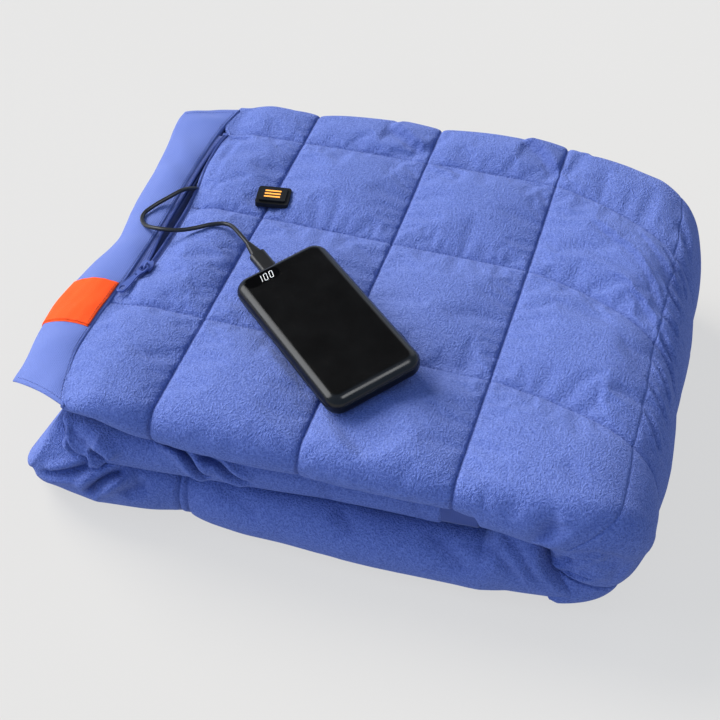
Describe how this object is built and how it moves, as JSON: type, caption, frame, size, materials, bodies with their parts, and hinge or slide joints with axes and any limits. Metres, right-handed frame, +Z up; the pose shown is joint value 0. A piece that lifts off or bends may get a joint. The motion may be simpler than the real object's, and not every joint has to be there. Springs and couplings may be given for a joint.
{
  "type": "heated blanket",
  "caption": "Folded quilted heated fleece blanket with bound edge, zipped pocket, sewn-on heat controller, and a plugged-in power bank lying on top.",
  "frame": {"origin": "bottom centre of the folded pack, on the surface it lies on", "axes": "+X towards the round fold, -X towards the bound edge and zipped pocket, +Y to the back, +Z up"},
  "size_m": [0.41, 0.368, 0.1275],
  "materials": {
    "fleece": "brushed micro-fleece with a short pebbled nap",
    "batting": "polyester wadding",
    "heater_fabric": "woven carbon-fibre heating cloth",
    "pocket_cloth": "plain woven lining",
    "binding": "smooth fine-woven binding",
    "label": "blank woven satin label",
    "zip_tape": "woven zip tape",
    "zip_plastic": "moulded coil and stops",
    "zip_enamel": "enamelled zinc slider and pull",
    "controller_rubber": "matt silicone",
    "light_bar": "amber light pipe",
    "circuit_board": "solder mask",
    "steel": "stamped and plated",
    "bank_plastic": "fine soft-touch moulding with polished edges",
    "bank_window": "smoked lens",
    "display": "segment display module",
    "cell_foil": "laminated pouch cell",
    "foam": "adhesive foam pad",
    "lead_jacket": "smooth black jacket",
    "plug_plastic": "moulded black plastic"
  },
  "bodies": {
    "lower_fold": {"lower_fleece": "fleece", "lower_batting_under": "batting", "lower_batting_over": "batting", "lower_heater_pad": "heater_fabric", "wrap_fleece": "fleece", "wrap_batting": "batting", "middle_fleece": "fleece", "middle_batting": "batting"},
    "upper_fold": {"upper_fleece": "fleece", "upper_batting_over": "batting", "upper_batting_under": "batting", "upper_batting_middle": "batting", "upper_heater_pad": "heater_fabric", "heater_lead": "lead_jacket", "binding_band": "binding", "band_core": "batting", "side_label": "label", "band_seam": "binding", "pocket_lining": "pocket_cloth", "heater_connector": "plug_plastic", "zip_tape_left": "zip_tape", "zip_tape_right": "zip_tape", "zip_coil_left": "zip_plastic", "zip_coil_right": "zip_plastic", "zip_end_stops": "zip_plastic", "controller_base": "controller_rubber", "controller_board": "circuit_board", "controller_dome": "steel", "usb_plug_shell": "steel", "usb_plug_boot": "plug_plastic", "usb_strain_relief": "plug_plastic", "usb_lead": "lead_jacket", "lead_collar": "controller_rubber"},
    "zip_slider": {"zip_slider_body": "zip_enamel"},
    "zip_pull": {"zip_pull_tab": "zip_enamel"},
    "heat_button": {"controller_button": "controller_rubber", "level_lights": "light_bar"},
    "power_bank": {"bank_top_cover": "bank_plastic", "bank_bottom_cover": "bank_plastic", "bank_display_window": "bank_window", "bank_display_module": "display", "bank_circuit_board": "circuit_board", "bank_usb_c_socket": "steel", "bank_usb_a_socket": "steel", "bank_cells": "cell_foil", "bank_cell_pads": "foam", "bank_button_switch": "steel"},
    "bank_button": {"bank_power_button": "bank_plastic"}
  },
  "joints": [
    {"name": "top_fold_lift", "type": "hinge", "parent": "lower_fold", "child": "upper_fold", "pos_m": [0.1541, 0, 0.1015], "axis": [0, 1, 0], "range_deg": [0, 30]},
    {"name": "zip_slide", "type": "slide", "parent": "upper_fold", "child": "zip_slider", "axis": [0, 1, 0], "range_m": [0, 0.07]},
    {"name": "zip_pull_swing", "type": "hinge", "parent": "zip_slider", "child": "zip_pull", "pos_m": [-0.165, -0.0311, 0.099], "axis": [-0.9744, 0.225, 0], "range_deg": [0, 155]},
    {"name": "heat_button_press", "type": "slide", "parent": "upper_fold", "child": "heat_button", "axis": [0, 0, -1], "range_m": [0, 0.0008], "stiffness_N_per_m": 1500, "springref_m": -0.0003},
    {"name": "bank_unplug", "type": "slide", "parent": "upper_fold", "child": "power_bank", "axis": [0.7314, -0.682, 0], "range_m": [0, 0.03]},
    {"name": "bank_button_press", "type": "slide", "parent": "power_bank", "child": "bank_button", "axis": [-0.6716, -0.7202, -0.1736], "range_m": [0, 0.0005], "stiffness_N_per_m": 2000, "springref_m": -0.0003}
  ]
}
